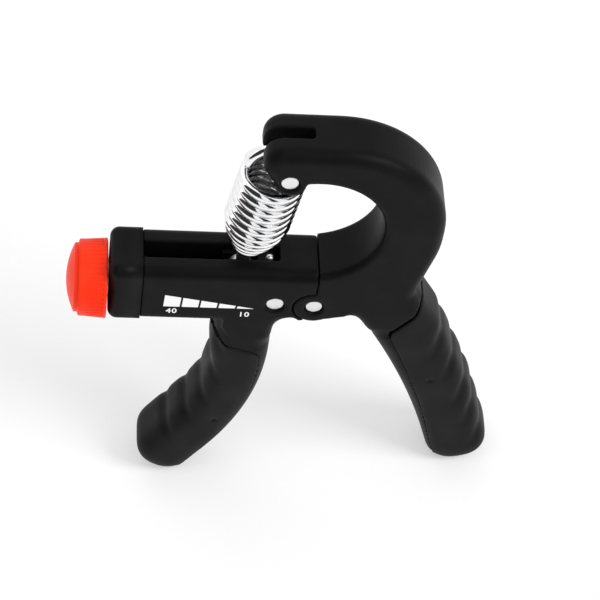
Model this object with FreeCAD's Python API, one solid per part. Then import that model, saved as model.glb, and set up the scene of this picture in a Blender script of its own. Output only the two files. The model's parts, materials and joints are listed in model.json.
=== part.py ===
"""Adjustable spring hand dynamometer: a two-handled hand gripper with a force screw.

The model is drawn in the barrel's own frame, in millimetres: the origin is the main
pivot on the mid-plane, +X runs along the barrel to the right, +Y away from the front
and +Z up. Each solid is then tilted and lifted so that both handle ends stand on Z = 0.
"""
import FreeCAD, Part
import math
import os

Vec = FreeCAD.Vector

# ----------------------------------------------------------------- driving dimensions
# Stance
PIVOT_HEIGHT = 91.2          # pivot axis above the surface the handles stand on
BARREL_DIP = 6.05            # degrees the barrel dips towards the pivot end

# Clearances
RUN_FIT = 0.05               # radial, pins and shafts that turn in a bore
SLIDE_GAP = 0.3              # between moulded parts that move past each other
SEAM_GAP = 0.25              # between the barrel's end face and the arm
LINK_DROP = 1.3              # how far the link's eye sinks below the slider's pin

# Barrel
BODY_DEPTH = 19.6            # front face to back face
BARREL_TOP = 16.1
BARREL_BOTTOM = -9.2
BARREL_END = -56.2           # seam with the end cap
BARREL_EDGE = 3.6            # edge rounding along the barrel
CAP_LENGTH = 10.5
CAP_EDGE = 3.0
CAP_SPIGOT = 2.0             # length of the cap's spigot in the barrel
SLOT_WIDTH = 6.3
SLOT_RIGHT = -12.2
CHANNEL_WIDTH = 12.6
CHANNEL_TOP = 8.2
CHANNEL_FLOOR = -6.0
CHANNEL_RIGHT = -16.2

# Knuckle
KNUCKLE_RADIUS = 6.8
TONGUE_WIDTH = 9.6
PIVOT_PIN_RADIUS = 1.9
PIN_HEAD_RADIUS = 3.0
PIN_HEAD_LENGTH = 1.1
PIN_RECESS = 0.35            # head face below the face of the body
COUNTERBORE_GAP = 0.2
HEAD_RELIEF = 0.1            # between a pin head and a part that turns under it
STOP_PIN_X = -12.8
STOP_PIN_Z = 0.8
STOP_PIN_RADIUS = 1.5
BUSH_WALL = 0.8

# Handles
PAD_DEPTH = 20.6             # over the front and back of a grip pad
HANDLE_EDGE = 6.0            # edge rounding of the handles
SPINE_DEPTH = 11.0           # tenon of the frame inside a grip pad
SPINE_INSET = 4.6            # rubber thickness on the outer side
STRIP_WIDTH = 3.4            # frame left bare along the inner side
LEFT_OUTER_X = -31.8         # outer side of the left handle under the barrel
LEFT_INNER_X = -12.0         # inner side of the left handle under the barrel
KNEE_X = 37.1                # inner side of the right handle at its widest bow

# Ring and fork
RING_HOLE_X = -4.25
RING_HOLE_Z = 38.0
RING_HOLE_RADIUS = 22.4
RING_EDGE = 4.2
RING_HOLE_EDGE = 2.0
FORK_SLOT_WIDTH = 4.2
FORK_SLOT_RIGHT = -7.2
FORK_LOBE_RADIUS = 5.2
SPRING_PIN_X = -13.94
SPRING_PIN_Z = 60.5
SPRING_PIN_RADIUS = 1.7

# Knob and screw
SCREW_Z = 0.3
SCREW_RADIUS = 2.5
SCREW_END = -18.0
KNOB_RADIUS = 13.1
KNOB_GAP = 0.5               # between the knob and the end cap
KNOB_COLLAR = 9.2            # length of the ribbed collar
KNOB_DOME = 4.0              # height of the dome beyond the collar
KNOB_DOME_RADIUS = 11.6
KNOB_WALL = 1.6
KNOB_RIBS = 48
KNOB_RIB_DEPTH = 0.35
HUB_RADIUS = 5.4
WASHER_RADIUS = 5.2
CLIP_RADIUS = 4.2
CLIP_THICKNESS = 0.8
CAP_BUSH_RADIUS = 4.0

# Slider and link
LINK_PIN_X = -24.7
LINK_PIN_Z = 10.0
LINK_PIN_RADIUS = 1.2
SLIDER_LEFT = -30.6
SLIDER_RIGHT = -16.8
SLIDER_LUG_TOP = 13.6
SLIDER_TONGUE_RIGHT = -13.4
NUT_RADIUS = 4.2
LINK_THICKNESS = 1.8
LINK_WIDTH = 4.3
LINK_EYE_RADIUS = 2.85       # bore of the opened pivot round the link pin
LINK_EYE_WALL = 1.0

# Spring
HOOK_X = -17.5               # centre of the hook, on the spring's axis
HOOK_Z = 57.6
HOOK_RADIUS = 8.6            # to the middle of the wire
HOOK_END = 12.0              # degrees above the spring's cross line where the hook's tip is
WIRE_RADIUS = 1.62
COIL_RADIUS = 9.2            # to the middle of the wire
COIL_TOP = 3.75              # hook centre to the first turn
COIL_TURNS = 7
COIL_PITCH = 3.27
TAPER_TURNS = 4
TAPER_PITCH = 3.2
TAPER_END_RADIUS = 6.8
TURN_FLAT = 1.1              # length of the crest of a turn
TURN_VALLEY = 0.8            # depth of the groove between two turns
BUSH_RADIUS = 2.3
PLUG_THICKNESS = 3.0

# ----------------------------------------------------------------- derived values
HALF_BODY = BODY_DEPTH / 2
HALF_TONGUE = TONGUE_WIDTH / 2
CHEEK_INNER = HALF_TONGUE + SLIDE_GAP
CAP_LEFT = BARREL_END - CAP_LENGTH
KNOB_RIGHT = CAP_LEFT - KNOB_GAP
KNOB_LEFT = KNOB_RIGHT - KNOB_COLLAR
REACH = 200.0                # longer than the whole object, for cutting tools
SPRING_LEAN = math.atan2(HOOK_X - LINK_PIN_X, HOOK_Z - LINK_PIN_Z)
LINK_LENGTH = math.hypot(HOOK_X - LINK_PIN_X, HOOK_Z - LINK_PIN_Z)
LINK_EYE_OUTER = LINK_EYE_RADIUS + LINK_EYE_WALL


# ----------------------------------------------------------------- helpers
def box(x0, x1, y0, y1, z0, z1):
    """Axis-aligned block between two corners."""
    return Part.makeBox(x1 - x0, y1 - y0, z1 - z0, Vec(x0, y0, z0))


def rod_y(radius, y0, y1, x=0.0, z=0.0):
    """Cylinder along Y."""
    return Part.makeCylinder(radius, y1 - y0, Vec(x, y0, z), Vec(0, 1, 0))


def rod_x(radius, x0, x1, z=SCREW_Z):
    """Cylinder along the barrel."""
    return Part.makeCylinder(radius, x1 - x0, Vec(x0, 0, z), Vec(1, 0, 0))


def outline(corners, y):
    """Closed wire at depth y through (x, z, radius) corners, each rounded tangentially."""
    arcs = []
    count = len(corners)
    for i, (x, z, radius) in enumerate(corners):
        here = Vec(x, y, z)
        before = Vec(corners[i - 1][0], y, corners[i - 1][1]) - here
        after = Vec(corners[(i + 1) % count][0], y, corners[(i + 1) % count][1]) - here
        before.normalize()
        after.normalize()
        if radius <= 0:
            arcs.append((here, None, here))
            continue
        half = before.getAngle(after) / 2
        middle = (before + after).normalize()
        centre = here + middle * (radius / math.sin(half))
        tangent = radius / math.tan(half)
        arcs.append((here + before * tangent, centre - middle * radius, here + after * tangent))
    edges = []
    for i, (start, middle, end) in enumerate(arcs):
        if middle is not None:
            edges.append(Part.Arc(start, middle, end).toShape())
        following = arcs[(i + 1) % count][0]
        if (following - end).Length > 1e-4:
            edges.append(Part.LineSegment(end, following).toShape())
    return Part.Wire(edges)


def plate(corners, y0, y1):
    """Solid plate of a rounded outline between two depths."""
    return Part.Face(outline(corners, y0)).extrude(Vec(0, y1 - y0, 0))


def edges_in(shape, test):
    """Edges of a shape whose middle point passes a test."""
    found = []
    for edge in shape.Edges:
        middle = edge.valueAt((edge.FirstParameter + edge.LastParameter) / 2)
        if test(middle, edge):
            found.append(edge)
    return found


def round_rim(shape, half_depth, radius, keep=None):
    """Round the edges that lie in the front and back faces of a plate."""
    def on_face(middle, edge):
        ends = [v.Point for v in edge.Vertexes]
        flat = all(abs(abs(p.y) - half_depth) < 1e-4 for p in ends)
        return flat and abs(abs(middle.y) - half_depth) < 1e-4 and (keep is None or keep(middle))
    return shape.makeFillet(radius, edges_in(shape, on_face))


def solid_of(shape):
    """The single solid of a boolean result, cleaned of split faces."""
    shape = shape.removeSplitter()
    solids = shape.Solids
    if len(solids) != 1:
        sizes = [round(s.Volume, 2) for s in solids]
        raise ValueError(f"expected one solid, found {sizes}")
    return solids[0]


def fuse(*shapes):
    """Union of several solids."""
    return shapes[0].fuse(list(shapes[1:]))


def headed_pin(radius, x, z, half_depth):
    """Rivet through the body with a flat head sunk in each face."""
    tip = half_depth - PIN_RECESS
    pin = rod_y(radius, -tip + PIN_HEAD_LENGTH, tip - PIN_HEAD_LENGTH, x, z)
    for side in (-1, 1):
        y0, y1 = sorted((side * tip, side * (tip - PIN_HEAD_LENGTH)))
        head = rod_y(PIN_HEAD_RADIUS, y0, y1, x, z)
        rim = edges_in(head, lambda m, e: abs(m.y - side * tip) < 1e-4 and len(e.Vertexes) == 1)
        pin = pin.fuse(head.makeFillet(0.35, rim))
    return solid_of(pin)


def counterbores(x, z, half_depth, relief=0.0):
    """Pair of flat-bottomed recesses for the heads of a pin."""
    depth = PIN_RECESS + PIN_HEAD_LENGTH + relief
    radius = PIN_HEAD_RADIUS + COUNTERBORE_GAP
    front = rod_y(radius, -half_depth - 1, -half_depth + depth, x, z)
    back = rod_y(radius, half_depth - depth, half_depth + 1, x, z)
    return front.fuse(back)


def stand(shape, shift=0.0):
    """Turn a solid from the barrel's frame into the standing frame."""
    placed = shape.copy()
    placed.rotate(Vec(0, 0, 0), Vec(0, 1, 0), BARREL_DIP)
    placed.translate(Vec(shift, 0, PIVOT_HEIGHT))
    return placed


def middle_shift(shapes):
    """Shift along X that puts the middle of the standing object over the origin."""
    whole = Part.makeCompound([stand(shape) for shape in shapes])
    extent = whole.optimalBoundingBox(False, False)
    return -(extent.XMin + extent.XMax) / 2


def floor_in_barrel_frame():
    """Block below the standing surface, in the barrel's frame."""
    ground = box(-REACH, REACH, -REACH, REACH, -REACH, 0)
    ground.translate(Vec(0, 0, -PIVOT_HEIGHT))
    ground.rotate(Vec(0, 0, 0), Vec(0, 1, 0), -BARREL_DIP)
    return ground


# ----------------------------------------------------------------- handles
LEFT_HANDLE = [
    (LEFT_OUTER_X, BARREL_BOTTOM + 3, 0), (LEFT_OUTER_X, -48.8, 50), (-56.5, -89.1, 9.4),
    (-39.1, -100.1, 9.4), (LEFT_INNER_X, -57.8, 105), (LEFT_INNER_X, BARREL_BOTTOM + 3, 0),
]
LEFT_STRIP = [
    (-REACH, 0, 0), (LEFT_OUTER_X - 1.7, -10.5, 0), (-27.0, -22.0, 6), (-15.6, -26.2, 3),
    (LEFT_INNER_X - STRIP_WIDTH, -57.0, 92), (-48.0, -110, 0), (0, -REACH, 0), (0, 0, 0),
]
LEFT_SPINE = [
    (LEFT_OUTER_X + SPINE_INSET, -14, 0), (LEFT_OUTER_X + SPINE_INSET, -50.0, 50),
    (-48.5, -84.5, 5), (-40.0, -90.0, 5), (LEFT_INNER_X, -56.0, 105), (LEFT_INNER_X, -14, 0),
]
RIGHT_HANDLE = [
    (20, 12, 0), (32.0, 8.5, 3), (43.3, -10.0, 20), (58.5, -43.5, 80), (72.0, -81.4, 9.0),
    (51.2, -88.5, 9.0), (KNEE_X, -45.0, 290), (13.4, -3.2, 6), (10, 2, 0),
]
RIGHT_STRIP = [
    (50, 20, 0), (36.5, 6.0, 0), (33.6, -3.0, 8), (26.2, -12.5, 2.5),
    (KNEE_X + STRIP_WIDTH, -43.5, 290), (57.5, -104, 0), (0, -REACH, 0), (0, 20, 0),
]
RIGHT_SPINE = [
    (28, 4, 0), (39.4, -12.0, 15), (53.6, -43.8, 80), (65.2, -77.0, 4.5),
    (54.0, -81.0, 4.5), (KNEE_X, -45.0, 290), (18, -10, 0),
]


def handle_blank(corners, half_depth):
    """Rounded bar of a handle."""
    blank = plate(corners, -half_depth, half_depth)
    return round_rim(blank, half_depth, HANDLE_EDGE)


def grip_pad(blank, strip, spine, spine_half):
    """Moulded grip: the handle blank less the bare strip and the tenon inside it."""
    bare = plate(strip, -REACH, REACH)
    tenon = plate(spine, -spine_half, spine_half)
    return blank.cut(fuse(bare, tenon))


# ----------------------------------------------------------------- housing
def barrel_blank(x0, x1, edge):
    """Rounded bar of the barrel's section."""
    bar = box(x0, x1, -HALF_BODY, HALF_BODY, BARREL_BOTTOM, BARREL_TOP)
    return bar.makeFillet(edge, edges_in(bar, lambda m, e: abs(m.x - (x0 + x1) / 2) < 1e-3))


def slider_space():
    """Slot and channel that the slider runs in."""
    half = CHANNEL_WIDTH / 2
    channel = box(BARREL_END - 1, CHANNEL_RIGHT, -half, half, CHANNEL_FLOOR, CHANNEL_TOP)
    slot = box(BARREL_END - 1, SLOT_RIGHT, -SLOT_WIDTH / 2, SLOT_WIDTH / 2, 0, BARREL_TOP + 1)
    slot = slot.cut(box(CHANNEL_RIGHT, REACH, -REACH, REACH, -REACH, CHANNEL_TOP))
    return channel.fuse(slot)


def main_housing(blank):
    """Barrel, knuckle tongue and the frame of the left handle in one moulding."""
    barrel = barrel_blank(BARREL_END, 3.0, BARREL_EDGE)
    low = KNUCKLE_RADIUS
    under = plate([(BARREL_END, BARREL_BOTTOM - 1, 0), (LEFT_INNER_X - 3, BARREL_BOTTOM - 1, 0),
                   (LEFT_INNER_X, -low, 0), (REACH, -low, 0), (REACH, -REACH, 0),
                   (BARREL_END, -REACH, 0)], -REACH, REACH)
    barrel = barrel.cut(under)
    barrel = barrel.cut(box(0, REACH, -REACH, REACH, -REACH, REACH))
    web = plate([(-29, -5, 0), (-29, -12, 0), (-25, -19, 0), (LEFT_INNER_X, -19, 0),
                 (LEFT_INNER_X, -low, 6), (-4, -low, 0), (-4, -5, 0)], -HALF_BODY, HALF_BODY)
    bare = plate(LEFT_STRIP, -REACH, REACH)
    tenon = plate(LEFT_SPINE, -SPINE_DEPTH / 2, SPINE_DEPTH / 2)
    frame = blank.common(fuse(bare, tenon))
    body = fuse(barrel, web, frame)
    pocket = KNUCKLE_RADIUS + SLIDE_GAP
    for side in (-1, 1):
        y0, y1 = sorted((side * HALF_TONGUE, side * REACH))
        body = body.cut(rod_y(pocket, y0, y1))
    tongue = rod_y(KNUCKLE_RADIUS, -HALF_TONGUE, HALF_TONGUE)
    body = body.fuse(tongue)
    body = body.cut(slider_space())
    body = body.cut(rod_y(PIVOT_PIN_RADIUS, -REACH, REACH))
    body = body.cut(rod_y(STOP_PIN_RADIUS, -REACH, REACH, STOP_PIN_X, STOP_PIN_Z))
    body = body.cut(counterbores(STOP_PIN_X, STOP_PIN_Z, HALF_BODY))
    return solid_of(body.cut(floor_in_barrel_frame()))


def barrel_end_cap():
    """Closed end of the barrel, with a spigot and the screw's bearing bore."""
    cap = box(CAP_LEFT, BARREL_END, -HALF_BODY, HALF_BODY, BARREL_BOTTOM, BARREL_TOP)
    middle = (CAP_LEFT + BARREL_END) / 2
    cap = cap.makeFillet(BARREL_EDGE, edges_in(cap, lambda m, e: abs(m.x - middle) < 1e-3))
    cap = cap.makeFillet(CAP_EDGE, edges_in(cap, lambda m, e: abs(m.x - CAP_LEFT) < 1e-4))
    half = CHANNEL_WIDTH / 2
    spigot = box(BARREL_END, BARREL_END + CAP_SPIGOT, -half, half, CHANNEL_FLOOR, CHANNEL_TOP)
    bore = rod_x(CLIP_RADIUS + SLIDE_GAP, BARREL_END + 0.5, BARREL_END + CAP_SPIGOT + 1)
    cap = fuse(cap, spigot).cut(bore)
    return solid_of(cap.cut(rod_x(CAP_BUSH_RADIUS, CAP_LEFT - 1, BARREL_END + 1)))


def cap_bush():
    """Bearing bush of the screw, pressed in the end cap."""
    bush = rod_x(CAP_BUSH_RADIUS, CAP_LEFT, BARREL_END + 0.5)
    return solid_of(bush.cut(rod_x(SCREW_RADIUS + RUN_FIT, CAP_LEFT - 1, BARREL_END + 1)))


# ----------------------------------------------------------------- arm
ARM_BODY = [
    (SEAM_GAP, BARREL_TOP, 0), (SEAM_GAP, -KNUCKLE_RADIUS + 0.02, 0), (13.4, -3.2, 6),
    (19.0, -13.0, 0), (25.0, -11.8, 0), (32.8, -3.4, 0), (34.9, 2.6, 0), (32.5, 7.2, 4),
    (37.6, 29.5, 40), (37.6, 74.1, 36.4),
    (-22.5, 74.1, 6.5), (-22.5, 65.0, 3), (-18.8, 58.4, 0), (-12.5, 58.5, 0), (SEAM_GAP, 58.5, 0),
]


def grip_arm(blank):
    """Hook-shaped ring with the spring fork, the knuckle cheeks and the right frame."""
    ring = plate(ARM_BODY, -HALF_BODY, HALF_BODY)
    hole = rod_y(RING_HOLE_RADIUS, -REACH, REACH, RING_HOLE_X, RING_HOLE_Z)
    lobe = rod_y(FORK_LOBE_RADIUS, -HALF_BODY, HALF_BODY, SPRING_PIN_X, SPRING_PIN_Z)
    ring = ring.cut(hole).fuse(lobe).removeSplitter()
    knuckle = rod_y(KNUCKLE_RADIUS, -HALF_BODY, HALF_BODY)
    bare = plate(RIGHT_STRIP, -REACH, REACH)
    tenon = plate(RIGHT_SPINE, -SPINE_DEPTH / 2, SPINE_DEPTH / 2)
    frame = blank.common(fuse(bare, tenon))

    def from_hole(m):
        return math.hypot(m.x - RING_HOLE_X, m.z - RING_HOLE_Z) - RING_HOLE_RADIUS

    def on_outer_rim(m):
        return from_hole(m) > 1 and (m.x > 20 and m.z > 9 or m.z > SPRING_PIN_Z)

    ring = round_rim(ring, HALF_BODY, RING_EDGE, on_outer_rim)
    ring = round_rim(ring, HALF_BODY, RING_HOLE_EDGE, lambda m: from_hole(m) < 1 and m.x > SEAM_GAP)
    body = fuse(ring, knuckle, frame)
    gap = KNUCKLE_RADIUS + SLIDE_GAP
    body = body.cut(rod_y(gap, -CHEEK_INNER, CHEEK_INNER))
    body = body.cut(box(-REACH, SEAM_GAP, -CHEEK_INNER, CHEEK_INNER, -REACH, BARREL_TOP))
    slot = box(-REACH, FORK_SLOT_RIGHT, -FORK_SLOT_WIDTH / 2, FORK_SLOT_WIDTH / 2, 50, REACH)
    body = body.cut(slot)
    body = body.cut(rod_y(PIVOT_PIN_RADIUS + BUSH_WALL, -REACH, REACH))
    body = body.cut(counterbores(0, 0, HALF_BODY, HEAD_RELIEF))
    body = body.cut(rod_y(SPRING_PIN_RADIUS, -REACH, REACH, SPRING_PIN_X, SPRING_PIN_Z))
    body = body.cut(counterbores(SPRING_PIN_X, SPRING_PIN_Z, HALF_BODY))
    return solid_of(body.cut(floor_in_barrel_frame()))


def pivot_bushes():
    """Bearing bush in each knuckle cheek."""
    head_seat = HALF_BODY - PIN_RECESS - PIN_HEAD_LENGTH - HEAD_RELIEF
    bushes = []
    for side in (-1, 1):
        y0, y1 = sorted((side * CHEEK_INNER, side * head_seat))
        ring = rod_y(PIVOT_PIN_RADIUS + BUSH_WALL, y0, y1)
        bushes.append(ring.cut(rod_y(PIVOT_PIN_RADIUS + RUN_FIT, y0 - 1, y1 + 1)))
    return Part.makeCompound(bushes)


# ----------------------------------------------------------------- knob and screw
def knob_collar():
    """Ribbed grip ring of the knob with its hub and front wall."""
    inner = HUB_RADIUS - 1
    profile = [(KNOB_RIGHT, inner), (KNOB_RIGHT, KNOB_RADIUS),
               (KNOB_LEFT, KNOB_RADIUS - 0.7), (KNOB_LEFT, inner)]
    wire = Part.makePolygon([Vec(x, 0, SCREW_Z + r) for x, r in profile + profile[:1]])
    ring = Part.Face(wire).revolve(Vec(0, 0, SCREW_Z), Vec(1, 0, 0), 360)
    hollow_end = KNOB_LEFT + KNOB_WALL
    hollow = rod_x(KNOB_RADIUS - 2 * KNOB_WALL, hollow_end, KNOB_RIGHT + 1)
    hub = rod_x(HUB_RADIUS, KNOB_LEFT, KNOB_RIGHT)
    collar = fuse(ring.cut(hollow), hub)
    collar = collar.cut(rod_x(SCREW_RADIUS, KNOB_LEFT - 1, KNOB_RIGHT + 1))
    groove = rod_x(KNOB_RIB_DEPTH, KNOB_LEFT - 2, KNOB_RIGHT - 1.2, SCREW_Z + KNOB_RADIUS - 0.1)
    grooves = []
    for i in range(KNOB_RIBS):
        cutter = groove.copy()
        cutter.rotate(Vec(0, 0, SCREW_Z), Vec(1, 0, 0), 360 * i / KNOB_RIBS)
        grooves.append(cutter)
    return solid_of(collar.cut(Part.makeCompound(grooves)))


def knob_cap():
    """Shallow domed cover of the knob."""
    rise = KNOB_DOME
    sphere_radius = (KNOB_DOME_RADIUS ** 2 + rise ** 2) / (2 * rise)
    ball = Part.makeSphere(sphere_radius, Vec(KNOB_LEFT - rise + sphere_radius, 0, SCREW_Z))
    dome = ball.common(rod_x(KNOB_DOME_RADIUS, KNOB_LEFT - rise - 1, KNOB_LEFT))
    recess = rod_x(SCREW_RADIUS + 2.2, KNOB_LEFT - 2.2, KNOB_LEFT + 1)
    return solid_of(dome.cut(recess))


def knob_nut():
    """Hexagon nut that locks the knob on the screw, under the dome."""
    across = SCREW_RADIUS + 1.9
    points = []
    for i in range(7):
        angle = math.radians(60 * i)
        points.append(Vec(KNOB_LEFT - 1.9, across * math.sin(angle), SCREW_Z + across * math.cos(angle)))
    nut = Part.Face(Part.makePolygon(points)).extrude(Vec(1.9, 0, 0))
    return solid_of(nut.cut(rod_x(SCREW_RADIUS, KNOB_LEFT - 3, KNOB_LEFT + 1)))


def adjusting_screw():
    """Force screw from the knob to the far end of the channel."""
    screw = rod_x(SCREW_RADIUS, KNOB_LEFT - 1.9, SCREW_END)
    return solid_of(screw.makeChamfer(0.5, edges_in(screw, lambda m, e: abs(m.x - SCREW_END) < 1e-4)))


def washer(radius, x0, thickness):
    """Flat washer on the screw."""
    disc = rod_x(radius, x0, x0 + thickness)
    return solid_of(disc.cut(rod_x(SCREW_RADIUS, x0 - 1, x0 + thickness + 1)))


# ----------------------------------------------------------------- slider
def slider_carriage():
    """Moulded slider: a block in the channel and two lugs in the slot."""
    half = CHANNEL_WIDTH / 2 - SLIDE_GAP
    middle = (SLIDER_LEFT + SLIDER_RIGHT) / 2
    block = box(SLIDER_LEFT, SLIDER_RIGHT, -half, half,
                CHANNEL_FLOOR + SLIDE_GAP, CHANNEL_TOP - SLIDE_GAP)
    block = block.makeFillet(1.0, edges_in(block, lambda m, e: abs(m.x - middle) < 1e-3))
    lug_half = SLOT_WIDTH / 2 - SLIDE_GAP
    lugs = box(SLIDER_LEFT, SLIDER_TONGUE_RIGHT, -lug_half, lug_half,
               CHANNEL_TOP + SLIDE_GAP, SLIDER_LUG_TOP)
    on_top = edges_in(lugs, lambda m, e: abs(m.z - SLIDER_LUG_TOP) < 1e-4 and abs(m.y) < 0.1)
    lugs = lugs.makeFillet(1.2, on_top)
    neck = box(SLIDER_LEFT, SLIDER_RIGHT, -lug_half, lug_half, 4, SLIDER_LUG_TOP - 2)
    body = fuse(block, lugs, neck)
    link_half = LINK_THICKNESS / 2 + SLIDE_GAP
    reach = LINK_EYE_OUTER + LINK_DROP + SLIDE_GAP
    floor = LINK_PIN_Z - LINK_EYE_OUTER - LINK_DROP - SLIDE_GAP
    gap = box(SLIDER_LEFT - 1, LINK_PIN_X + reach, -link_half, link_half, floor, REACH)
    body = body.cut(gap)
    body = body.cut(rod_y(LINK_PIN_RADIUS, -REACH, REACH, LINK_PIN_X, LINK_PIN_Z))
    return solid_of(body.cut(rod_x(NUT_RADIUS, SLIDER_LEFT - 1, SLIDER_RIGHT + 1)))


def slider_nut():
    """Threaded insert of the slider."""
    nut = rod_x(NUT_RADIUS, SLIDER_LEFT, SLIDER_RIGHT)
    return solid_of(nut.cut(rod_x(SCREW_RADIUS + RUN_FIT, SLIDER_LEFT - 1, SLIDER_RIGHT + 1)))


def slider_stud():
    """Small bright stud on the slider's tongue."""
    x = SLIDER_TONGUE_RIGHT - 2.0
    stud = Part.makeCylinder(1.15, 0.5, Vec(x, 0, SLIDER_LUG_TOP))
    cap = Part.makeSphere(1.4, Vec(x, 0, SLIDER_LUG_TOP - 0.3))
    cap = cap.cut(box(-REACH, REACH, -REACH, REACH, -REACH, SLIDER_LUG_TOP))
    return solid_of(stud.fuse(cap))


# ----------------------------------------------------------------- spring group
def along_spring(shape):
    """Move a solid drawn down the -Z axis from the origin to the spring's line."""
    placed = shape.copy()
    placed.rotate(Vec(0, 0, 0), Vec(0, 1, 0), math.degrees(SPRING_LEAN))
    placed.translate(Vec(HOOK_X, 0, HOOK_Z))
    return placed


def coil_rings():
    """(distance below the hook's centre, radius) of each turn of the coil."""
    turns = []
    for i in range(COIL_TURNS):
        turns.append((COIL_TOP + i * COIL_PITCH, COIL_RADIUS))
    for i in range(1, TAPER_TURNS + 1):
        share = i / TAPER_TURNS
        radius = COIL_RADIUS - (COIL_RADIUS - TAPER_END_RADIUS) * share ** 1.6
        turns.append((turns[-1][0] + TAPER_PITCH, radius))
    return turns


def coil_tube():
    """Close-wound coil as one tube, with a flat crest for each turn and a groove between."""
    turns = coil_rings()
    outer = []
    inner = []
    for i, (down, radius) in enumerate(turns):
        crest = radius + WIRE_RADIUS
        for side in (-1, 1):
            outer.append(Vec(crest, 0, -down - side * TURN_FLAT / 2))
        inner.append(Vec(radius - WIRE_RADIUS, 0, -down))
        if i + 1 < len(turns):
            following = turns[i + 1]
            valley = (crest + following[1] + WIRE_RADIUS) / 2 - TURN_VALLEY
            outer.append(Vec(valley, 0, -(down + following[0]) / 2))
    top = -turns[0][0] + WIRE_RADIUS
    bottom = -turns[-1][0] - WIRE_RADIUS
    skin = [Vec(turns[0][1], 0, top)] + outer + [Vec(turns[-1][1], 0, bottom)]
    skin += inner[::-1] + [Vec(turns[0][1], 0, top)]
    return Part.Face(Part.makePolygon(skin)).revolve(Vec(0, 0, 0), Vec(0, 0, 1), 360)


def hook():
    """Half loop of wire over the spring pin, with a leg down into the first turn."""
    sweep = 180 - HOOK_END
    loop = Part.makeTorus(HOOK_RADIUS, WIRE_RADIUS, Vec(0, 0, 0), Vec(0, 1, 0), 0, 360, sweep)
    loop.rotate(Vec(0, 0, 0), Vec(0, 1, 0), -90)
    leg = Part.makeCylinder(WIRE_RADIUS, COIL_TOP, Vec(-HOOK_RADIUS, 0, -COIL_TOP))
    return loop.fuse(leg)


def extension_spring():
    """Extension spring: a close-wound coil with a tapered foot and a hook."""
    return solid_of(along_spring(coil_tube().fuse(hook())))


def spring_pin_bush():
    """Sleeve on the spring pin that the spring's hook rides on."""
    half = FORK_SLOT_WIDTH / 2 - SLIDE_GAP
    sleeve = rod_y(BUSH_RADIUS, -half, half, SPRING_PIN_X, SPRING_PIN_Z)
    bore = rod_y(SPRING_PIN_RADIUS + RUN_FIT, -half - 1, half + 1, SPRING_PIN_X, SPRING_PIN_Z)
    return solid_of(sleeve.cut(bore))


def link_plate():
    """Flat steel link from the foot of the spring to the slider's pin."""
    top = coil_rings()[-TAPER_TURNS][0]
    half = LINK_THICKNESS / 2
    strap = box(-LINK_WIDTH / 2, LINK_WIDTH / 2, -half, half, -LINK_LENGTH, -top)
    ring = rod_y(LINK_EYE_OUTER, -half, half, 0, -LINK_LENGTH)
    link = strap.fuse(ring).cut(rod_y(LINK_EYE_RADIUS, -half - 1, half + 1, 0, -LINK_LENGTH))
    return solid_of(along_spring(link))


def spring_plug():
    """Plug in the tapered end of the spring, riveted to the link plate."""
    down, radius = coil_rings()[-2]
    plug = Part.makeCylinder(radius - WIRE_RADIUS - 2 * SLIDE_GAP, PLUG_THICKNESS, Vec(0, 0, -down))
    half_x = LINK_WIDTH / 2
    half_y = LINK_THICKNESS / 2
    plug = plug.cut(box(-half_x, half_x, -half_y, half_y, -REACH, 0))
    return solid_of(along_spring(plug))


# ----------------------------------------------------------------- build
def build():
    """All nodes of the part, by name, in the barrel's frame."""
    ground = floor_in_barrel_frame()
    left = handle_blank(LEFT_HANDLE, PAD_DEPTH / 2)
    right = handle_blank(RIGHT_HANDLE, PAD_DEPTH / 2)
    tenon_half = SPINE_DEPTH / 2
    return {
        "main_housing": main_housing(handle_blank(LEFT_HANDLE, HALF_BODY)),
        "left_grip_pad": solid_of(grip_pad(left, LEFT_STRIP, LEFT_SPINE, tenon_half).cut(ground)),
        "barrel_end_cap": barrel_end_cap(),
        "cap_bush": cap_bush(),
        "pivot_pin": headed_pin(PIVOT_PIN_RADIUS, 0, 0, HALF_BODY),
        "stop_pin": headed_pin(STOP_PIN_RADIUS, STOP_PIN_X, STOP_PIN_Z, HALF_BODY),
        "grip_arm": grip_arm(handle_blank(RIGHT_HANDLE, HALF_BODY)),
        "right_grip_pad": solid_of(grip_pad(right, RIGHT_STRIP, RIGHT_SPINE, tenon_half).cut(ground)),
        "pivot_bushes": pivot_bushes(),
        "spring_pin": headed_pin(SPRING_PIN_RADIUS, SPRING_PIN_X, SPRING_PIN_Z, HALF_BODY),
        "knob_collar": knob_collar(),
        "knob_cap": knob_cap(),
        "knob_nut": knob_nut(),
        "adjusting_screw": adjusting_screw(),
        "thrust_washer": washer(WASHER_RADIUS, KNOB_RIGHT, KNOB_GAP - RUN_FIT),
        "retaining_clip": washer(CLIP_RADIUS, BARREL_END + 0.5 + RUN_FIT, CLIP_THICKNESS),
        "slider_carriage": slider_carriage(),
        "slider_nut": slider_nut(),
        "slider_stud": slider_stud(),
        "link_pin": rod_y(LINK_PIN_RADIUS, -SLOT_WIDTH / 2 + SLIDE_GAP, SLOT_WIDTH / 2 - SLIDE_GAP,
                          LINK_PIN_X, LINK_PIN_Z),
        "spring_pin_bush": spring_pin_bush(),
        "extension_spring": extension_spring(),
        "link_plate": link_plate(),
        "spring_plug": spring_plug(),
    }


os.makedirs("parts", exist_ok=True)
nodes = build()
pivot_x = middle_shift(nodes.values())
print(f"pivot at x = {pivot_x:.3f} mm, z = {PIVOT_HEIGHT} mm")
print(f"spring leans {math.degrees(SPRING_LEAN):.3f} degrees")
for name, shape in nodes.items():
    stand(shape, pivot_x).exportStep(f"parts/{name}.step")
    size = shape.BoundBox
    print(f"{name}: {shape.Volume / 1000:.2f} cm3, "
          f"{size.XLength:.1f} x {size.YLength:.1f} x {size.ZLength:.1f} mm, valid {shape.isValid()}")
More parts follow.
